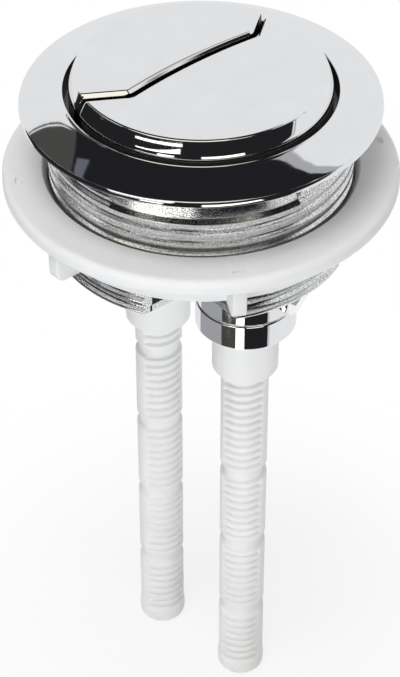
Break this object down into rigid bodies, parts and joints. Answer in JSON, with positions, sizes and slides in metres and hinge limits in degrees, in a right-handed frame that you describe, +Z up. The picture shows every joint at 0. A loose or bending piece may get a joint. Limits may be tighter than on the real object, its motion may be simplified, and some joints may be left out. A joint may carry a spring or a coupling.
{
  "type": "push button cistern actuator",
  "caption": "Round chrome dual-flush push button for a cistern lid: threaded barrel with a white ring nut, sprung plungers and long threaded push rods.",
  "frame": {"origin": "centre of the bezel's underside, on the barrel's axis, where it meets the lid", "axes": "+Z up out of the cistern along the barrel's axis, +X from the small button to the large one, square to the split but for a turn of 2.7 degrees"},
  "size_m": [0.08, 0.08, 0.1603],
  "materials": {
    "chrome": "polished chrome plating on ABS",
    "rod_plastic": "milky white moulded plastic",
    "nut_plastic": "satin white moulded plastic",
    "spring_steel": "drawn stainless wire"
  },
  "bodies": {
    "housing": {"bezel_body": "chrome", "small_guide_cup": "chrome", "large_guide_cup": "chrome", "small_spring": "spring_steel", "large_spring": "spring_steel"},
    "small_press": {"small_button": "chrome", "small_plunger": "rod_plastic"},
    "large_press": {"large_button": "chrome", "large_plunger": "rod_plastic"},
    "small_adjuster": {"small_rod": "rod_plastic"},
    "large_adjuster": {"large_rod": "rod_plastic"},
    "clamp_nut": {"ring_nut": "nut_plastic"}
  },
  "joints": [
    {"name": "small_button_press", "type": "slide", "parent": "housing", "child": "small_press", "axis": [0, 0, -1], "range_m": [0, 0.0075], "stiffness_N_per_m": 150, "springref_m": -0.012, "deforming": ["small_spring"]},
    {"name": "large_button_press", "type": "slide", "parent": "housing", "child": "large_press", "axis": [0, 0, -1], "range_m": [0, 0.0075], "stiffness_N_per_m": 150, "springref_m": -0.012, "deforming": ["large_spring"]},
    {"name": "small_rod_adjust", "type": "slide", "parent": "small_press", "child": "small_adjuster", "axis": [0, 0, 1], "range_m": [-0.006, 0.0095]},
    {"name": "large_rod_adjust", "type": "slide", "parent": "large_press", "child": "large_adjuster", "axis": [0, 0, 1], "range_m": [-0.006, 0.0095]},
    {"name": "nut_travel", "type": "slide", "parent": "housing", "child": "clamp_nut", "axis": [0, 0, 1], "range_m": [-0.006, 0.009]}
  ]
}
